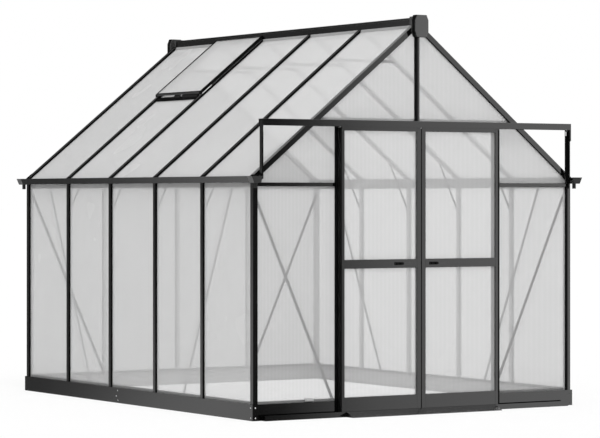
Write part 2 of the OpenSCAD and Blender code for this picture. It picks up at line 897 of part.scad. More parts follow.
module threshold_ramp() {
    nose = 3;
    color(mid_grey) mirror([0, 1, 0]) along_x(-ramp_half, ramp_half) polygon([
        [track_y, 0], [ramp_y, 0], [ramp_y, nose], [track_y, track_h]
    ]);
}

// Door leaves --------------------------------------------------------------

// A box of the right leaf: from x0 to x1 outward, z0 to z1, full thickness
module leaf_block(x0, x1, z0, z1) {
    block([x0, -leaf_front, z0], [x1, -leaf_back, z1]);
}

module door_stiles() {
    leaf_block(leaf_in, leaf_in + stile_w, leaf_floor, leaf_top);
    leaf_block(leaf_out - stile_w, leaf_out, leaf_floor, leaf_top);
}

module door_rails() {
    x0 = leaf_in + stile_w;
    x1 = leaf_out - stile_w;
    leaf_block(x0, x1, leaf_floor, bottom_rail_top);
    leaf_block(x0, x1, mid_rail_z - mid_rail_h / 2, mid_rail_z + mid_rail_h / 2);
    leaf_block(x0, x1, leaf_top - top_rail_h, leaf_top);
    // Upstand that hides the gap below the head rail
    block([leaf_in, -leaf_front, leaf_top], [leaf_out, -leaf_front + 4, leaf_top + 12]);
}

module door_panels() {
    x0 = leaf_in + stile_w;
    x1 = leaf_out - stile_w;
    y0 = -leaf_front + (leaf_t - sheet_t) / 2;
    block([x0, y0, bottom_rail_top], [x1, y0 + sheet_t, mid_rail_z - mid_rail_h / 2]);
    block([x0, y0, mid_rail_z + mid_rail_h / 2], [x1, y0 + sheet_t, leaf_top - top_rail_h]);
}

// Latch from x0 to the right: a plate on the mid rail, a round knob on its left
// end and a short grip. Both leaves have it this way round.
module door_latch(x0) {
    plate = [latch_w, 4, 18];
    knob_d = 16;
    knob_l = 12;
    grip = [20, 10, 12];
    plate_front = -leaf_front - plate[1];
    translate([x0, plate_front, mid_rail_z - plate[2] / 2]) cube(plate);
    translate([x0 + knob_d, plate_front, mid_rail_z]) rotate([90, 0, 0])
        cylinder(h = knob_l, d = knob_d, $fn = round_fn);
    translate([x0 + 2 * grip[0], plate_front - grip[1], mid_rail_z - grip[2] / 2]) cube(grip);
}

// A roller on its axle and the hanger that carries it over the leaf's top
module roller(x) {
    hanger_w = 30;
    translate([x, -wheel_y, axle_z]) rotate([90, 0, 0]) {
        cylinder(h = wheel_t, r = wheel_r, $fn = round_fn);
        cylinder(h = hanger_y - wheel_y, r = axle_r, $fn = round_fn);
    }
    block([x - hanger_w / 2, -hanger_y - hanger_t, leaf_top],
        [x + hanger_w / 2, -hanger_y, axle_z + wheel_r - 2]);
}

// A shoe under the leaf that keeps it between the bottom track's lip and sill
module guide_shoe(x) {
    shoe_l = 40;
    block([x - shoe_l / 2, -leaf_front + shoe_gap, track_floor + shoe_gap],
        [x + shoe_l / 2, -leaf_back - shoe_gap, leaf_floor]);
}

module door_rollers() {
    for (x = [leaf_in + roller_in, leaf_out - roller_in]) {
        roller(x);
        guide_shoe(x);
    }
}

module left_door_stiles() { color(dark) left_side() door_stiles(); }
module left_door_rails() { color(mid_grey) left_side() door_rails(); }
module left_door_panels() { color(sheet) left_side() door_panels(); }
module left_door_latch() { color("black") door_latch(-leaf_in - left_latch_in - latch_w); }
module left_door_rollers() { color("black") left_side() door_rollers(); }
module right_door_stiles() { color(dark) door_stiles(); }
module right_door_rails() { color(mid_grey) door_rails(); }
module right_door_panels() { color(sheet) door_panels(); }
module right_door_latch() { color("black") door_latch(leaf_in + right_latch_in); }
module right_door_rollers() { color("black") door_rollers(); }

// Puts the house where the whole object is centred on the origin
module placed() {
    translate([0, house_y, 0]) children();
}

placed() end_base_rails();
placed() side_base_rails();
placed() door_sill();
placed() panel_sill_rails();
placed() corner_posts();
placed() side_wall_posts();
placed() back_wall_posts();
placed() door_posts();
placed() eave_beams();
placed() gutters();
placed() gutter_end_caps();
placed() corner_covers();
placed() ridge_beam();
placed() ridge_end_caps();
placed() rafters();
placed() gable_rafters();
placed() gable_mullions();
placed() gable_beam();
placed() end_eave_bars();
placed() side_wall_panels();
placed() end_wall_panels();
placed() roof_panels();
placed() gable_panels();
placed() vent_stiles();
placed() vent_rails();
placed() vent_pane();
placed() vent_sill();
placed() vent_stay();
placed() wall_braces();
placed() knee_braces();
placed() collar_ties();
placed() door_head_rail();
placed() rail_stays();
placed() bottom_track();
placed() threshold_ramp();
placed() left_door_stiles();
placed() left_door_rails();
placed() left_door_panels();
placed() left_door_latch();
placed() left_door_rollers();
placed() right_door_stiles();
placed() right_door_rails();
placed() right_door_panels();
placed() right_door_latch();
placed() right_door_rollers();
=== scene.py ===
import json
import math

import bmesh
import bpy
from mathutils import Matrix, Vector


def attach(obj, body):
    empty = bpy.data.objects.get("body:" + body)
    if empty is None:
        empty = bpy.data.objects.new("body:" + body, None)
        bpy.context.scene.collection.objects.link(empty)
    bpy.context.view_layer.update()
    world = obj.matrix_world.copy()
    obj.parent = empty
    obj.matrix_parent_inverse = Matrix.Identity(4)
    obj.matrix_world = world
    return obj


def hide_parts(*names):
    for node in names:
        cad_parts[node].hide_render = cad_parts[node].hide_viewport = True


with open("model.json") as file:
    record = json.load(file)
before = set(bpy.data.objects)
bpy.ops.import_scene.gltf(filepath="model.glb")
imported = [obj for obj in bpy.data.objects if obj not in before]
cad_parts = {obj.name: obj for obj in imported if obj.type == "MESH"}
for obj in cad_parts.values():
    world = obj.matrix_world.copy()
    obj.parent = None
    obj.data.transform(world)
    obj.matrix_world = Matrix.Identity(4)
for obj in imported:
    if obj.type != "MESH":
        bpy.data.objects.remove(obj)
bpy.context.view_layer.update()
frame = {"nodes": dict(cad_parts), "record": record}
MM = 0.001

# Sizes are in millimetres, with the house centred on the origin. All of it is
# then moved back by HOUSE_Y. X and Y values are distances from the middle.
HOUSE_Y = 29.5
PITCH = math.radians(38.7)

# Corner posts: their outer faces, which are the walls' planes, and their width
POST_X, POST_Y = 1216.0, 1516.0
CORNER = 32.0

# Glazing bars: where they stand, half the width of their cap and their depth,
# and how deep the sheets' outer faces lie behind the walls' planes
BAY = 600.0
SIDE_PLACES = [-900.0, -300.0, 300.0, 900.0]
BACK_PLACES = [-600.0, 0.0, 600.0]
CAP_HALF = 14.0
BAR_D = 32.0
SHEET_IN = 14.0

# End walls: the door posts' middles, the eave bars' lower and upper edges, the
# lower edge of the gable's beam, and the depth of the braces' inner faces
DOORWAY = 600.0
EAVE_BAR = (1426.0, 1444.0)
GABLE_BEAM_Z = 1795.0
BRACE_IN = BAR_D + 3.0

BASE_X, BASE_Y = 1225.0, 1525.0
BASE_H = 100.0

# Roof: the height at which the planes of its two slopes meet, half the width of
# the ridge beam, the sheets' lower ends, and the caps on the ridge beam's ends
APEX_Z = 1488.0 + POST_X * math.tan(PITCH)
RIDGE_HALF = 25.0
ROOF_END = 1226.0
RIDGE_CAP_W, RIDGE_CAP_H = 100.0, 139.0
RIDGE_CAP_TOP = APEX_Z + 39
GUTTER_Z, GUTTER_END = 1446.0, 1575.0
VENT_BAY_START, VENT_REACH = 300.0, 520.0

# Sliding doors: the head rail, its stays' inner faces, one leaf's faces and
# edges, its bottom rail and stiles, and the latches' left edges
HEAD_BOTTOM, HEAD_TOP = 1793.0, 1833.0
STAY_X = 1176.0
LEAF_FRONT, LEAF_BACK = 1558.0, 1533.0
LEAF_IN, LEAF_OUT = 3.0, 608.0
LEAF_FLOOR, LEAF_TOP = 20.0, 1788.0
BOTTOM_RAIL_TOP = 120.0
STILE_W = 30.0
LATCHES = (-203.0, 63.0)
LATCH_Z, LATCH_W = 942.0, 60.0

# Rubber strips beside the bars, and thin strips that lie on them
SEAL_W = 2.0
SEAL_DEPTH = (1.5, SHEET_IN)
STRIP_T = 0.6


# Node graphs ---------------------------------------------------------------


class Socket:
    """An output of a node. Arithmetic on it adds Math nodes to the same graph."""

    def __init__(self, graph, socket):
        self.graph, self.socket = graph, socket

    def math(self, operation, *others):
        return self.graph.node(
            "ShaderNodeMath", {"operation": operation}, dict(enumerate((self, *others)))
        )

    def turned(self, operation, other):
        """The same with the two values the other way round."""
        return self.graph.node(
            "ShaderNodeMath", {"operation": operation}, {0: other, 1: self}
        )

    def __add__(self, other):
        return self.math("ADD", other)

    def __sub__(self, other):
        return self.math("SUBTRACT", other)

    def __mul__(self, other):
        return self.math("MULTIPLY", other)

    def __truediv__(self, other):
        return self.math("DIVIDE", other)

    def __rsub__(self, other):
        return self.turned("SUBTRACT", other)

    def __rtruediv__(self, other):
        return self.turned("DIVIDE", other)

    def __neg__(self):
        return self.math("MULTIPLY", -1.0)

    __radd__ = __add__
    __rmul__ = __mul__

    def output(self, name):
        """Another output of the same node."""
        return Socket(self.graph, self.socket.node.outputs[name])

    def rise(self, start, end):
        """0 below start, 1 above end, smooth in between."""
        return self.graph.node(
            "ShaderNodeMapRange",
            {"interpolation_type": "SMOOTHSTEP"},
            {"Value": self, "From Min": start, "From Max": end},
        )


class Graph:
    """A node tree of a material, the world or a modifier."""

    def __init__(self, tree):
        self.tree = tree
        tree.nodes.clear()

    def node(self, kind, settings=None, inputs=None, output=0):
        """Adds a node, sets and links it, and gives back one of its outputs."""
        made = self.tree.nodes.new(kind)
        for name, value in (settings or {}).items():
            setattr(made, name, value)
        for key, value in (inputs or {}).items():
            if isinstance(value, Socket):
                self.tree.links.new(value.socket, made.inputs[key])
            else:
                made.inputs[key].default_value = value
        return Socket(self, made.outputs[output]) if made.outputs else None


class Finish(Graph):
    """A material whose patterns lie still on the house."""

    def __init__(self, name):
        self.material = bpy.data.materials.new(name)
        self.material.use_nodes = True
        super().__init__(self.material.node_tree)
        self.place = self.node("ShaderNodeTexCoord", output="Object")

    def xyz(self):
        """The place in metres, along each axis."""
        x = self.node("ShaderNodeSeparateXYZ", inputs={0: self.place}, output="X")
        return x, x.output("Y"), x.output("Z")

    def from_middle(self, y):
        """Distance from the middle of the house's length."""
        return (y - HOUSE_Y * MM).math("ABSOLUTE")

    def inside(self, depth, top=None):
        """1 deeper than this many millimetres behind the walls' and roof's faces.

        Above the height top it is 0.
        """
        x, y, z = self.xyz()
        u = x.math("ABSOLUTE")
        from_side = POST_X * MM - u
        from_end = POST_Y * MM - self.from_middle(y)
        from_roof = (APEX_Z * MM - z - u * math.tan(PITCH)) * math.cos(PITCH)
        least = from_side.math("MINIMUM", from_end).math("MINIMUM", from_roof)
        deep = least.rise((depth - 1) * MM, depth * MM)
        return deep if top is None else deep * (1 - z.rise((top - 1) * MM, top * MM))

    def noise(self, scale, detail=2.0):
        return self.node(
            "ShaderNodeTexNoise",
            inputs={"Vector": self.place, "Scale": scale, "Detail": detail},
        )

    def blend(self, factor, first, second):
        """Mixes two colours, each with its alpha or from a node."""
        return self.node(
            "ShaderNodeMix",
            {"data_type": "RGBA"},
            {"Factor": factor, "A": first, "B": second},
            output="Result",
        )

    def between(self, factor, dark, light):
        return self.blend(factor, (*dark, 1), (*light, 1))

    def bump(self, height, distance, strength):
        return self.node(
            "ShaderNodeBump",
            inputs={"Height": height, "Distance": distance, "Strength": strength},
        )

    def surface(self, **sockets):
        """Ends the material; a socket's spaces are written as underscores."""
        shader = self.node(
            "ShaderNodeBsdfPrincipled",
            inputs={k.replace("_", " "): v for k, v in sockets.items()},
        )
        self.node("ShaderNodeOutputMaterial", inputs={"Surface": shader})
        return self.material


# Finishes ------------------------------------------------------------------

# Scales of the noise: slow changes of tone, and the fine relief of paint and plastic
CLOUD, SHEET_CLOUD, PLASTIC_CLOUD = 3.0, 2.5, 6.0
PEEL, GRAIN = 700.0, 1400.0
FLUTE_PITCH = 0.010


def greys(dark, light):
    """Two colours without a hue."""
    return (dark,) * 3, (light,) * 3


BLACKS = greys(0.002, 0.0035)
PRIMER = greys(0.66, 0.72)


def powder_coat(
    name, dark, light, roughness=0.08, gloss=1.0, bare_from=None, bare_to=None, primers=PRIMER
):
    """Smooth paint baked on aluminium or steel, with a faint orange peel.

    Deeper in the house than bare_from, and below the height bare_to where it is
    given, the metal has only a dull primer.
    """
    f = Finish(name)
    cloud = f.noise(CLOUD)
    peel = f.noise(PEEL)
    colour = f.between(cloud, dark, light)
    rough = roughness - 0.02 + cloud * 0.04
    if bare_from is not None:
        bare = f.inside(bare_from, bare_to)
        colour = f.blend(bare, colour, f.between(cloud, *primers))
        rough = rough + bare * 0.35
    return f.surface(
        Base_Color=colour,
        Roughness=rough,
        Normal=f.bump(peel, 0.00002, 0.3),
        Specular_IOR_Level=gloss,
    )


def twin_wall_sheet(name, across, see_through, tone, spread=0.12, painted_shade=0.0, haze=0.0):
    """Twin-wall sheet with its flutes side by side along the axis across.

    The share see_through of the light goes straight on, and the share spread
    is scattered forward. The flutes' walls let a little less through. At the
    house's back end the colour is darkened by a painted shade, and haze makes
    the sheet denser to stand in for that shade as well.
    """
    f = Finish(name)
    cloud = f.noise(SHEET_CLOUD)
    x, y, _ = f.xyz()
    along = x if across == "X" else y
    flute = (along * (math.tau / FLUTE_PITCH)).math("COSINE")
    wall = (flute * 0.5 + 0.5).math("POWER", 6.0)
    back = y.rise(1.0, 1.5)
    light = f.between(cloud, *greys(tone - 0.015, tone + 0.015))
    # Painted shade: the colour darkens towards black at the back end
    colour = f.blend(back * painted_shade, light, (0, 0, 0, 1))
    solid = 1 - see_through / (1 - spread) + back * haze
    skin = f.node(
        "ShaderNodeBsdfPrincipled",
        inputs={
            "Base Color": colour,
            "Roughness": 0.22 + cloud * 0.08,
            "Alpha": solid - 0.015 + wall * 0.10 + cloud * 0.02,
            "Normal": f.bump(flute, 0.0002, 0.5),
        },
    )
    core = f.node("ShaderNodeBsdfTranslucent", inputs={"Color": colour})
    both = f.node("ShaderNodeMixShader", inputs={0: spread, 1: skin, 2: core})
    f.node("ShaderNodeOutputMaterial", inputs={"Surface": both})
    return f.material


def grained(f, colour, roughness, gloss):
    """The fine grain of moulded plastic, on the finish f."""
    grain = f.noise(GRAIN, 3.0)
    return f.surface(
        Base_Color=colour,
        Roughness=roughness + grain * 0.12,
        Normal=f.bump(grain, 0.0002, 0.4),
        Specular_IOR_Level=gloss,
    )


def moulded_plastic(name, dark, light, roughness, gloss):
    f = Finish(name)
    return grained(f, f.between(f.noise(PLASTIC_CLOUD), dark, light), roughness, gloss)


def gutter_cap_plastic_and_reflection(name):
    """Black plastic, with the sleeve round the gutter in a lighter grey.

    The sleeve's lighter grey is a painted reflection.
    """
    f = Finish(name)
    _, y, z = f.xyz()
    edge = 0.5
    on_gutter = 1 - f.from_middle(y).rise((GUTTER_END - edge) * MM, (GUTTER_END + edge) * MM)
    above_spout = z.rise((GUTTER_Z - 3) * MM, (GUTTER_Z - 2) * MM)
    # Painted reflection: the sleeve above the spout is given the lighter grey
    sleeve_reflection = on_gutter * above_spout
    return grained(f, f.between(sleeve_reflection, *greys(0.022, 0.12)), 0.7 - sleeve_reflection * 0.4, 0.5)


def brace_paint_and_painted_light(name):
    """Dull paint, paler on the side walls' braces than on the end walls'.

    The paler tone is painted light, for the light that the sheets in front of them scatter.
    """
    f = Finish(name)
    _, y, _ = f.xyz()
    # Painted light: the side walls' braces are given the paler colour
    on_end_wall = f.from_middle(y).rise(1.40, 1.41)
    return f.surface(
        Base_Color=f.between(on_end_wall, *greys(0.24, 0.015)),
        Roughness=0.38 + f.noise(CLOUD) * 0.04,
        Specular_IOR_Level=0.3,
    )


# The finish of each material slot
FINISHES = {
    "frame_aluminium": powder_coat("frame_paint", *BLACKS, bare_from=18),
    "door_aluminium": powder_coat("door_paint", *greys(0.003, 0.0045)),
    "base_steel": powder_coat("base_paint", *BLACKS),
    "brace_steel": powder_coat("steel_paint", *greys(0.004, 0.007), 0.3, 0.3),
    "cap_plastic": powder_coat("cap_plastic", *greys(0.045, 0.055), 0.14),
    "fitting_plastic": moulded_plastic("fitting_plastic", *greys(0.002, 0.004), 0.6, 0.15),
}

DOOR_SHEET = twin_wall_sheet("door_sheet", "X", 0.70, 0.93)
ROOF_SHEET = twin_wall_sheet("roof_sheet", "Y", 0.40, 0.94, spread=0.2)
BASE_RAIL = powder_coat("base_rail_paint", *BLACKS, bare_from=-7.5, bare_to=BASE_H - 3)
# Black rubber for the seals, also used for strips of painted shade
BLACK_RUBBER_AND_SHADE = moulded_plastic("black_rubber_and_painted_shade", *greys(0.002, 0.004), 0.6, 0.1)
PALE_SEAL = moulded_plastic("pale_seal", *greys(0.40, 0.50), 0.5, 0.3)
CLEAR_CLIP = moulded_plastic("clear_clip", *greys(0.45, 0.55), 0.3, 0.5)
# Painted light: white for the bright gaps beside the vent's lower corners
GAP_LIGHT_WHITE = moulded_plastic("painted_gap_light", *greys(0.84, 0.90), 0.6, 0.3)
# Painted highlights for the lit tops of the front gable's rafters and of the other rafters
GABLE_TOP_HIGHLIGHT = powder_coat("gable_top_highlight", *greys(0.20, 0.26), 0.4, 0.3)
RAFTER_TOP_HIGHLIGHT = powder_coat("rafter_edge", *greys(0.05, 0.07), 0.4, 0.3)
GREY_LINE = powder_coat("worn_edge", *greys(0.05, 0.07), 0.25, 0.8)
BRIGHT_ZINC = powder_coat("bright_zinc", (0.85, 0.85, 0.86), (0.92, 0.92, 0.93), 0.35, 0.8)

# The nodes that differ from the rest of their slot
OTHERS = {
    "side_wall_panels": twin_wall_sheet("side_sheet", "Y", 0.60, 0.92),
    # Painted shade: the back end's wall and gable sheets are darkened, with haze for the same
    # shade
    "end_wall_panels": twin_wall_sheet("end_sheet", "X", 0.70, 0.85, painted_shade=0.3, haze=0.1),
    "gable_panels": twin_wall_sheet("gable_sheet", "X", 0.70, 0.85, painted_shade=0.6, haze=0.25),
    "left_door_panels": DOOR_SHEET,
    "right_door_panels": DOOR_SHEET,
    "roof_panels": ROOF_SHEET,
    "vent_pane": ROOF_SHEET,
    "side_base_rails": BASE_RAIL,
    "end_base_rails": BASE_RAIL,
    "panel_sill_rails": powder_coat(
        "sill_rail_paint", *BLACKS, bare_from=6, primers=greys(0.10, 0.13)
    ),
    # Pale next to the sheets, mid grey on the inner face. The pale outer face is
    # partly painted light that lifts the gutter's shadow on it.
    "eave_beams": powder_coat(
        "eave_beam_paint_and_light", *greys(0.86, 0.92), 0.4, 0.3, bare_from=27, primers=greys(0.31, 0.37)
    ),
    "rafters": powder_coat("matt_bar_paint", *BLACKS, 0.5, 0.15, bare_from=18),
    "gutter_end_caps": gutter_cap_plastic_and_reflection("gutter_cap_plastic_and_reflection"),
    "threshold_ramp": powder_coat("ramp_paint", *BLACKS, 0.25),
    "vent_rails": powder_coat("vent_rail_paint", *greys(0.035, 0.045), 0.25, 0.5),
    "vent_stiles": BLACK_RUBBER_AND_SHADE,
    "vent_sill": BLACK_RUBBER_AND_SHADE,
    "wall_braces": brace_paint_and_painted_light("brace_paint_and_painted_light"),
}

SLOTS = {part["node"]: part["material_slot"] for part in frame["record"]["subparts"]}


def finish_of(node):
    return OTHERS.get(node) or FINISHES[SLOTS[node]]


def finish_cad_nodes():
    for node in SLOTS:
        mesh = frame["nodes"][node].data
        mesh.materials.clear()
        mesh.materials.append(finish_of(node))


# Added pieces --------------------------------------------------------------


def roof_z(u, n):
    """Height at the level distance u from the ridge, n below the roof surface."""
    return APEX_Z - u * math.tan(PITCH) - n / math.cos(PITCH)


class Shape:
    """A mesh of closed prisms, drawn in millimetres in the house's own place."""

    def __init__(self):
        self.bm = bmesh.new()

    def prism(self, points, offset):
        """The solid that the outline points sweeps when it moves by offset."""
        rings = []
        for move in (Vector((0, 0, 0)), Vector(offset)):
            rings.append([self.bm.verts.new(Vector(p) + move) for p in points])
        near, far = rings
        self.bm.faces.new(near)
        self.bm.faces.new(far[::-1])
        for i, corner in enumerate(near):
            j = (i + 1) % len(near)
            self.bm.faces.new((corner, far[i], far[j], near[j]))

    def block(self, lo, hi):
        (x0, y0, z0), (x1, y1, z1) = lo, hi
        self.prism([(x0, y0, z0), (x1, y0, z0), (x1, y1, z0), (x0, y1, z0)], (0, 0, z1 - z0))

    def on_wall(self, wall, s, depth, z):
        """A block between two places along a wall, two depths into it and two heights."""
        (s0, s1), (d0, d1) = sorted(s), sorted(depth)
        if wall in ("front", "back"):
            way = -1 if wall == "front" else 1
            y0, y1 = sorted((way * (POST_Y - d0), way * (POST_Y - d1)))
            self.block((s0, y0, z[0]), (s1, y1, z[1]))
        else:
            way = -1 if wall == "left" else 1
            x0, x1 = sorted((way * (POST_X - d0), way * (POST_X - d1)))
            self.block((x0, s0, z[0]), (x1, s1, z[1]))

    def on_slope(self, way, u, n, y):
        """A slab on the left (way -1) or right slope, from y[0] to y[1]."""
        corners = [(u[0], n[0]), (u[1], n[0]), (u[1], n[1]), (u[0], n[1])]
        self.prism([(way * a, y[0], roof_z(a, b)) for a, b in corners], (0, y[1] - y[0], 0))

    def piece(self, name, finish, slot, body="house"):
        """Ends the drawing and makes the piece."""
        bmesh.ops.recalc_face_normals(self.bm, faces=self.bm.faces)
        self.bm.transform(Matrix.Translation((0, HOUSE_Y * MM, 0)) @ Matrix.Scale(MM, 4))
        mesh = bpy.data.meshes.new(name)
        self.bm.to_mesh(mesh)
        self.bm.free()
        add_piece(name, mesh, finish, body)


def add_piece(name, mesh, finish, body="house"):
    """Shows the mesh as a piece that rides on a body."""
    mesh.materials.clear()
    mesh.materials.append(finish)
    made = bpy.data.objects.new(name, mesh)
    bpy.context.scene.collection.objects.link(made)
    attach(made, body)
    return made


def glazing_seals():
    """Black rubber strips that press the sheets against the bars, on both sides."""
    shape = Shape()
    gap = 2
    edges = ((CAP_HALF, CAP_HALF + SEAL_W), (-CAP_HALF - SEAL_W, -CAP_HALF))
    top = (BASE_H, GUTTER_Z)
    for a, b in edges:
        for s in SIDE_PLACES:
            for wall in ("left", "right"):
                shape.on_wall(wall, (s + a, s + b), SEAL_DEPTH, top)
            for way in (-1, 1):
                shape.on_slope(way, (RIDGE_HALF, ROOF_END - gap), SEAL_DEPTH, (s + a, s + b))
        for s in BACK_PLACES:
            shape.on_wall("back", (s + a, s + b), SEAL_DEPTH, (BASE_H, EAVE_BAR[0]))
        for s in (-DOORWAY, DOORWAY):
            shape.on_wall("front", (s + a, s + b), SEAL_DEPTH, (BASE_H, GABLE_BEAM_Z))
        ridge_low = roof_z(RIDGE_HALF, BAR_D)
        shape.on_wall("front", (a, b), SEAL_DEPTH, (HEAD_TOP, ridge_low - gap))
        shape.on_wall("back", (a, b), SEAL_DEPTH, (EAVE_BAR[1], ridge_low))
    for way in (-1, 1):
        post_x = way * (POST_X - CORNER)
        post_y = way * (POST_Y - CORNER)
        for wall in ("front", "back"):
            shape.on_wall(wall, (post_x, post_x - way * SEAL_W), SEAL_DEPTH, (BASE_H, EAVE_BAR[0]))
        for wall in ("left", "right"):
            shape.on_wall(wall, (post_y, post_y - way * SEAL_W), SEAL_DEPTH, top)
        # Along the gable rafters: under them in the gable, and beside them on the roof
        for end in (-1, 1):
            outer, inner = end * (POST_Y - SEAL_DEPTH[0]), end * (POST_Y - SEAL_DEPTH[1])
            run = (RIDGE_HALF + 2 * gap, POST_X - CORNER - 2 * gap)
            shape.on_slope(way, run, (BAR_D, BAR_D + SEAL_W), sorted((outer, inner)))
            y0 = end * (POST_Y - CORNER)
            shape.on_slope(
                way, (RIDGE_HALF, ROOF_END - gap), SEAL_DEPTH, sorted((y0, y0 - end * SEAL_W))
            )
        # Under and over the eave bars
        far = POST_X - CORNER
        near = {"front": DOORWAY + CAP_HALF, "back": 0.0}
        for wall, s in near.items():
            for z in ((EAVE_BAR[0] - SEAL_W, EAVE_BAR[0]), (EAVE_BAR[1], EAVE_BAR[1] + SEAL_W)):
                shape.on_wall(wall, (way * s, way * far), SEAL_DEPTH, z)
    shape.piece("glazing_seals", BLACK_RUBBER_AND_SHADE, "fitting_plastic")


def painted_shadow_strips():
    """Black strips of painted shade along the inner edges of the bars' outer faces."""
    shape = Shape()
    depth, post_strip_w, door_post_top = (-STRIP_T, 0.0), 10, GABLE_BEAM_Z - 5
    for way in (-1, 1):
        post = (way * (POST_X - CORNER), way * (POST_X - CORNER + post_strip_w))
        for wall in ("front", "back"):
            shape.on_wall(wall, post, depth, (BASE_H, EAVE_BAR[0]))
        door_post = (way * DOORWAY, way * (DOORWAY + CAP_HALF))
        shape.on_wall("front", door_post, depth, (BASE_H, door_post_top))
    mullion_z = (HEAD_TOP + 1, roof_z(RIDGE_HALF, BAR_D) - 2)
    shape.on_wall("front", (-CAP_HALF, 2), depth, mullion_z)
    shape.piece("painted_shadow_strips", BLACK_RUBBER_AND_SHADE, "fitting_plastic")


def highlight_strips():
    """Thin strips of painted highlight on top of the rafters, the palest on the front gable's."""
    pale, grey = Shape(), Shape()
    for way in (-1, 1):
        run = (RIDGE_HALF + 6, POST_X - 8)
        pale.on_slope(way, run, (-STRIP_T, 0), (-POST_Y, CORNER - POST_Y))
        for s in (*SIDE_PLACES, POST_Y - CORNER / 2):
            grey.on_slope(way, run, (-STRIP_T, 0), (s - CAP_HALF, s + 1))
    pale.piece("gable_highlight_strips", GABLE_TOP_HIGHLIGHT, "frame_aluminium")
    grey.piece("rafter_highlight_strips", RAFTER_TOP_HIGHLIGHT, "frame_aluminium")


def vent_seals():
    """Rubber on the outer sides of the vent's stiles, and white blocks beside its lower
    corners, which are painted light for the bright gaps there.
    """
    # The foam shape holds the white blocks of painted light
    rubber, foam = Shape(), Shape()
    stile_out, rubber_t, foam_t, underside = 3, 6, 3, -5
    near, far = VENT_BAY_START - stile_out, VENT_BAY_START + BAY + stile_out
    for way, edge in ((-1, near), (1, far)):
        middle = edge + way * rubber_t
        side = sorted((edge, middle))
        rubber.on_slope(-1, (RIDGE_HALF + 6, VENT_REACH), (-18, underside), side)
        side = sorted((middle, middle + way * foam_t))
        foam.on_slope(-1, (VENT_REACH - 85, VENT_REACH - 12), (underside, 0), side)
    rubber.piece("vent_gaskets", BLACK_RUBBER_AND_SHADE, "fitting_plastic")
    foam.piece("vent_gap_light", GAP_LIGHT_WHITE, "fitting_plastic")


def door_seals(way, name, body):
    """Brush seal along the leaf's outer edge, and a black strip on its face there.

    The strip has the rubber finish and is painted shade.
    """
    shape = Shape()
    brush_w, inset, short = 3, 1.5, 4
    x0, x1 = sorted((way * LEAF_OUT, way * (LEAF_OUT + brush_w)))
    shape.block(
        (x0, -LEAF_FRONT + inset, LEAF_FLOOR + short), (x1, -LEAF_BACK - inset, LEAF_TOP - short)
    )
    # Painted shade: a black strip on the leaf's face along its outer edge
    strip_w, strip_t = 10, 0.5
    x0, x1 = sorted((way * (LEAF_OUT - strip_w), way * LEAF_OUT))
    shape.block((x0, -LEAF_FRONT - strip_t, LEAF_FLOOR), (x1, -LEAF_FRONT, LEAF_TOP))
    shape.piece(name, BLACK_RUBBER_AND_SHADE, "fitting_plastic", body)


def ridge_strips():
    """Pale foam strips that close the gap between the roof sheets and the ridge."""
    shape = Shape()
    bars = [-POST_Y + CORNER - CAP_HALF, *SIDE_PLACES, POST_Y - CORNER + CAP_HALF]
    clear, foam_t = CAP_HALF + SEAL_W, 1.5
    for way in (-1, 1):
        for near, far in zip(bars, bars[1:]):
            if way == 1 or near != VENT_BAY_START:
                run = (RIDGE_HALF, RIDGE_HALF + foam_t)
                shape.on_slope(way, run, (2, SHEET_IN), (near + clear, far - clear))
    shape.piece("ridge_strips", PALE_SEAL, "fitting_plastic")


def ridge_cap_black_bands():
    """Black band round the rear part of each ridge cap."""
    shape = Shape()
    proud, cut_w, cut_h, band = 0.5, 14, 34, (12, 42)
    half, top = RIDGE_CAP_W / 2 + proud, RIDGE_CAP_TOP + proud
    bottom = RIDGE_CAP_TOP - RIDGE_CAP_H - proud
    low, high = bottom + cut_h, top - cut_h
    right = [(half - cut_w, bottom), (half, low), (half, high), (half - cut_w, top)]
    outline = [(cut_w - half, bottom), *right, (cut_w - half, top), (-half, high), (-half, low)]
    for end in (-1, 1):
        y0, y1 = sorted(end * (POST_Y + depth) for depth in band)
        shape.prism([(x, y0, z) for x, z in outline], (0, y1 - y0, 0))
    shape.piece("ridge_cap_black_bands", BLACK_RUBBER_AND_SHADE, "fitting_plastic")


def sill_clip():
    """Clear clip that holds the front left sheet down in its sill rail."""
    shape = Shape()
    shape.on_wall("front", (-836, -775), (4, SHEET_IN), (BASE_H + 3, BASE_H + 22))
    shape.on_wall("front", (-829, -782), (1, 4), (BASE_H + 8, BASE_H + 17))
    shape.piece("sill_clip", CLEAR_CLIP, "fitting_plastic")


def latch_slot(latch, name, body):
    """Raised rim of the slot in which the latch slides, to the right of its plate."""
    shape = Shape()
    gap, slot_w, half_h, rim, proud = 6, 66, 3.5, 1.5, 0.8
    x0, face = latch + LATCH_W + gap, -LEAF_FRONT
    x1 = x0 + slot_w
    for low in (LATCH_Z - half_h - rim, LATCH_Z + half_h):
        shape.block((x0, face - proud, low), (x1, face, low + rim))
    shape.block((x1 - rim, face - proud, LATCH_Z - half_h), (x1, face, LATCH_Z + half_h))
    shape.piece(name, GREY_LINE, "door_aluminium", body)


def stay_foot():
    """Height at which a stay of the head rail stands on the corner cover."""
    stay_t, cover_d, cover_t = 4, 45, 8
    return roof_z(STAY_X + stay_t, cover_d) + cover_t


def stay_black_strips():
    """Black strips on the inner faces of the head rail's stays."""
    shape = Shape()
    foot, top = stay_foot() + 4, HEAD_BOTTOM - 2
    rubber_t, leg_w, front, back = 1.5, 20, -1559, -1538
    for way in (-1, 1):
        x = way * STAY_X
        inner = x - way * rubber_t
        x0, x1 = sorted((x, inner))
        shape.block((x0, front, foot), (x1, back, top))
        x0, x1 = sorted((inner, x - way * leg_w))
        for low, high in ((foot, HEAD_BOTTOM - 40), (HEAD_BOTTOM - 8, top)):
            shape.block((x0, back - rubber_t, low), (x1, back, high))
    shape.piece("stay_black_strips", BLACK_RUBBER_AND_SHADE, "fitting_plastic")


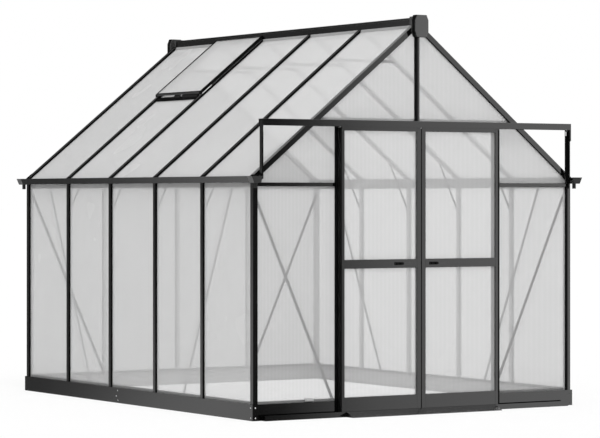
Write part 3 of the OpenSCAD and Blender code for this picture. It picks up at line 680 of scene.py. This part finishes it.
def screw_tree(name):
    """Geometry nodes that put a round head on each point, turned the way it faces."""
    tree = bpy.data.node_groups.new(name, "GeometryNodeTree")
    kinds = {
        "Points": "NodeSocketGeometry", "Height": "NodeSocketFloat", "Sides": "NodeSocketInt",
        "Crown": "NodeSocketFloat", "Finish": "NodeSocketMaterial",
    }
    for socket, kind in kinds.items():
        tree.interface.new_socket(socket, in_out="INPUT", socket_type=kind)
    tree.interface.new_socket("Heads", in_out="OUTPUT", socket_type="NodeSocketGeometry")
    g = Graph(tree)
    given = g.node("NodeGroupInput", output="Points")
    head = g.node(
        "GeometryNodeMeshCone",
        inputs={
            "Vertices": given.output("Sides"), "Radius Top": given.output("Crown"),
            "Radius Bottom": 1.0, "Depth": given.output("Height"),
        },
        output="Mesh",
    )
    facing = g.node(
        "GeometryNodeInputNamedAttribute", {"data_type": "FLOAT_VECTOR"}, {"Name": "facing"}
    )
    size = g.node("GeometryNodeInputNamedAttribute", {"data_type": "FLOAT"}, {"Name": "size"})
    turn = g.node("FunctionNodeAlignRotationToVector", {"axis": "Z"}, {"Vector": facing})
    placed = g.node(
        "GeometryNodeInstanceOnPoints",
        inputs={"Points": given, "Instance": head, "Rotation": turn, "Scale": size},
    )
    solid = g.node("GeometryNodeRealizeInstances", inputs={"Geometry": placed})
    done = g.node(
        "GeometryNodeSetMaterial",
        inputs={"Geometry": solid, "Material": given.output("Finish")},
    )
    g.node("NodeGroupOutput", inputs={"Heads": done})
    return tree


def screws(name, tree, spots, finish, body="house"):
    """Screw heads; a spot is a place in millimetres, the way it faces and its radius."""
    mesh = bpy.data.meshes.new(name)
    places = [Vector(place) + Vector((0, HOUSE_Y, 0)) for place, _, _ in spots]
    mesh.from_pydata([place * MM for place in places], [], [])
    mesh.attributes.new("facing", "FLOAT_VECTOR", "POINT")
    mesh.attributes.new("size", "FLOAT", "POINT")
    ways = [part for _, way, _ in spots for part in way]
    mesh.attributes["facing"].data.foreach_set("vector", ways)
    mesh.attributes["size"].data.foreach_set("value", [r * MM for _, _, r in spots])
    holder = bpy.data.objects.new(name + "_spots", mesh)
    bpy.context.scene.collection.objects.link(holder)
    modifier = holder.modifiers.new("heads", "NODES")
    modifier.node_group = tree
    values = {"Height": 0.5, "Sides": 16, "Crown": 0.7, "Finish": finish}
    for item in tree.interface.items_tree:
        if item.in_out == "INPUT" and item.name in values:
            modifier[item.identifier] = values[item.name]
    now = bpy.context.evaluated_depsgraph_get()
    heads = bpy.data.meshes.new_from_object(holder.evaluated_get(now))
    bpy.data.objects.remove(holder)
    add_piece(name, heads, finish, body)


def house_screws(tree):
    """Screws of the base's corners and joints, the braces' ends and the stays."""
    bright, dark = [], []
    foot_z = BASE_H + 12
    for end in (-1, 1):
        for way in (-1, 1):
            corner = bright if end == way == -1 else dark
            for z in (17, 79):
                corner.append(((way * (BASE_X - 20.5), end * BASE_Y, z), (0, end, 0), 4.5))
                corner.append(((way * BASE_X, end * (BASE_Y - 21), z), (way, 0, 0), 3.5))
            # Foot and head of each brace, on its inner face
            y = end * (POST_Y - BRACE_IN)
            for u, z in ((614, foot_z), (1180, 1358)):
                dark.append(((way * u, y, z), (0, -end, 0), 6))
            x = way * (POST_X - BRACE_IN)
            for u, z in ((625, foot_z), (1214, 1405)):
                dark.append(((x, end * u, z), (-way, 0, 0), 6))
        # Joint of the two halves of a side's base rail
        for y, z in ((171, 82), (190, 45), (167, 18)):
            bright.append(((end * BASE_X, y, z), (end, 0, 0), 3.6))
        dark.append(((end * (STAY_X + 4), -1535, stay_foot() + 20), (end, 0, 0), 5))
    screws("base_corner_screws", tree, bright, BRIGHT_ZINC)
    screws("frame_screws", tree, dark, GREY_LINE)


def door_screws(tree, way, latch, name, body):
    """Screws of a leaf: two in the latch plate and one in each joint of the frame."""
    plate = -LEAF_FRONT - 4
    spots = [((latch + dx, plate, LATCH_Z), (0, -1, 0), 2.2) for dx in (4, 56)]
    for x in (LEAF_IN + STILE_W / 2, LEAF_OUT - STILE_W / 2):
        for z in (BOTTOM_RAIL_TOP - 45, LATCH_Z, LEAF_TOP - 20):
            spots.append(((way * x, -LEAF_FRONT, z), (0, -1, 0), 2.5))
    screws(name, tree, spots, GREY_LINE, body)


def softened(node, width, body="house"):
    """A copy of a node with its sharp edges rounded, shown in the node's place."""
    source = frame["nodes"][node]
    nearly_flat, corner = math.radians(1), math.radians(35)
    bm = bmesh.new()
    bm.from_mesh(source.data)
    bm.transform(source.matrix_world)
    bmesh.ops.remove_doubles(bm, verts=bm.verts, dist=1e-5)
    bmesh.ops.dissolve_limit(bm, angle_limit=nearly_flat, verts=bm.verts, edges=bm.edges)
    sharp = [
        edge for edge in bm.edges
        if len(edge.link_faces) == 2 and edge.calc_face_angle() > corner
    ]
    bmesh.ops.bevel(
        bm, geom=sharp, offset=width * MM, segments=2, profile=0.5,
        affect="EDGES", clamp_overlap=True,
    )
    bmesh.ops.recalc_face_normals(bm, faces=bm.faces)
    mesh = bpy.data.meshes.new("soft_" + node)
    bm.to_mesh(mesh)
    bm.free()
    made = add_piece("soft_" + node, mesh, finish_of(node), body)
    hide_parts(node)


def soften_nodes():
    """Rounds the edges that show; the widths are in millimetres."""
    widths = {
        "ridge_end_caps": 2.0, "gutter_end_caps": 0.6, "corner_covers": 0.8,
        "door_head_rail": 0.6, "threshold_ramp": 1.2, "vent_rails": 0.8, "vent_stiles": 0.8,
    }
    for node, width in widths.items():
        softened(node, width)
    for side in ("left_door", "right_door"):
        for part, width in (("stiles", 0.8), ("rails", 0.8), ("latch", 1.2)):
            softened(side + "_" + part, width, side)


# Stage ---------------------------------------------------------------------


def make_floor():
    """White paper, part lit so that it keeps the house's shadow."""
    h = 200.0
    mesh = bpy.data.meshes.new("floor")
    mesh.from_pydata([(-h, -h, 0), (h, -h, 0), (h, h, 0), (-h, h, 0)], [], [(0, 1, 2, 3)])
    floor = bpy.data.objects.new("floor", mesh)
    bpy.context.scene.collection.objects.link(floor)
    f = Finish("floor_paper")
    seen = f.node("ShaderNodeLightPath", output="Is Camera Ray")
    mirrored = seen.output("Is Glossy Ray")
    lit = f.node("ShaderNodeBsdfDiffuse", inputs={"Color": (0.8, 0.8, 0.8, 1)})
    white = f.node("ShaderNodeEmission", inputs={"Color": (1, 1, 1, 1), "Strength": 1.08})
    paper = f.node("ShaderNodeMixShader", inputs={0: seen * 0.72, 1: lit, 2: white})
    clear = f.node("ShaderNodeBsdfTransparent")
    both = f.node("ShaderNodeMixShader", inputs={0: mirrored, 1: paper, 2: clear})
    f.node("ShaderNodeOutputMaterial", inputs={"Surface": both})
    mesh.materials.append(f.material)


def light_world():
    """White all round, but the paint mirrors three bright screens in a dark room.

    One screen stands in front on the right, one behind on the left with a
    slanting edge, and one high on the right.
    """
    world = bpy.data.worlds.new("studio")
    bpy.context.scene.world = world
    world.use_nodes = True
    g = Graph(world.node_tree)
    seen = g.node("ShaderNodeLightPath", output="Is Camera Ray")
    mirrored = seen.output("Is Glossy Ray")
    open_view = seen.math("MAXIMUM", seen.output("Is Transmission Ray"))
    way = g.node("ShaderNodeTexCoord", output="Generated")
    x = g.node("ShaderNodeSeparateXYZ", inputs={0: way}, output="X")
    y, z = x.output("Y"), x.output("Z")
    # Bearings in degrees, from the front to the right and from the back to the left
    degree = math.radians(1)
    front = x.math("ARCTAN2", -y) / degree
    height = z.math("ARCSINE") / degree
    slant = height.math("MAXIMUM", -14.0) * 0.9
    back = (-x).math("ARCTAN2", y) / degree - slant
    right_screen = front.rise(31.9, 34.6) * 0.85 + front.rise(33.5, 40) * 0.35
    right_screen = right_screen * (1 - front.rise(100, 140))
    left_screen = back.rise(30.6, 34.6) * (1 - back.rise(100, 140))
    top_screen = x.rise(0.3, 0.5) * z.rise(0.25, 0.5)
    room = (
        0.01 + right_screen + left_screen * 0.64 + top_screen * 1.15
        + back.rise(22, 28) * 0.13
    )
    ambient = 0.66
    level = ambient + open_view * (1 - ambient)
    level = level + mirrored * (room - level)
    sky = g.node(
        "ShaderNodeBackground", inputs={"Color": (1, 1, 1, 1), "Strength": level}
    )
    g.node("ShaderNodeOutputWorld", inputs={"Surface": sky})


def add_sun(name, direction, strength, spread):
    lamp = bpy.data.lights.new(name, "SUN")
    lamp.energy, lamp.angle = strength, math.radians(spread)
    sun = bpy.data.objects.new(name, lamp)
    sun.rotation_mode = "QUATERNION"
    sun.rotation_quaternion = Vector(direction).to_track_quat("-Z", "Y")
    bpy.context.scene.collection.objects.link(sun)


def add_camera():
    """The camera stands level in front of the left corner of the doors' wall."""
    lens = bpy.data.cameras.new("camera")
    lens.sensor_width, lens.lens = 36.0, 160.51
    lens.shift_x, lens.shift_y = 0.10483, -0.03695
    lens.clip_end = 500.0
    camera = bpy.data.objects.new("camera", lens)
    camera.location = (-9.710, -15.2825, 1.3588)
    camera.rotation_euler = (math.radians(90), 0, -math.radians(31.28))
    bpy.context.scene.collection.objects.link(camera)
    bpy.context.scene.camera = camera


finish_cad_nodes()
glazing_seals()
painted_shadow_strips()
highlight_strips()
vent_seals()
ridge_strips()
ridge_cap_black_bands()
sill_clip()
stay_black_strips()
soften_nodes()
heads = screw_tree("screw_heads")
house_screws(heads)
for way, latch, body in ((-1, LATCHES[0], "left_door"), (1, LATCHES[1], "right_door")):
    door_seals(way, body + "_brush", body)
    latch_slot(latch, body + "_latch_slot", body)
    door_screws(heads, way, latch, body + "_screws", body)
make_floor()
light_world()
add_sun("key", (0.3, 0.6, -1.0), 1.3, 25)
add_camera()
bpy.context.scene.view_settings.view_transform = "Standard"
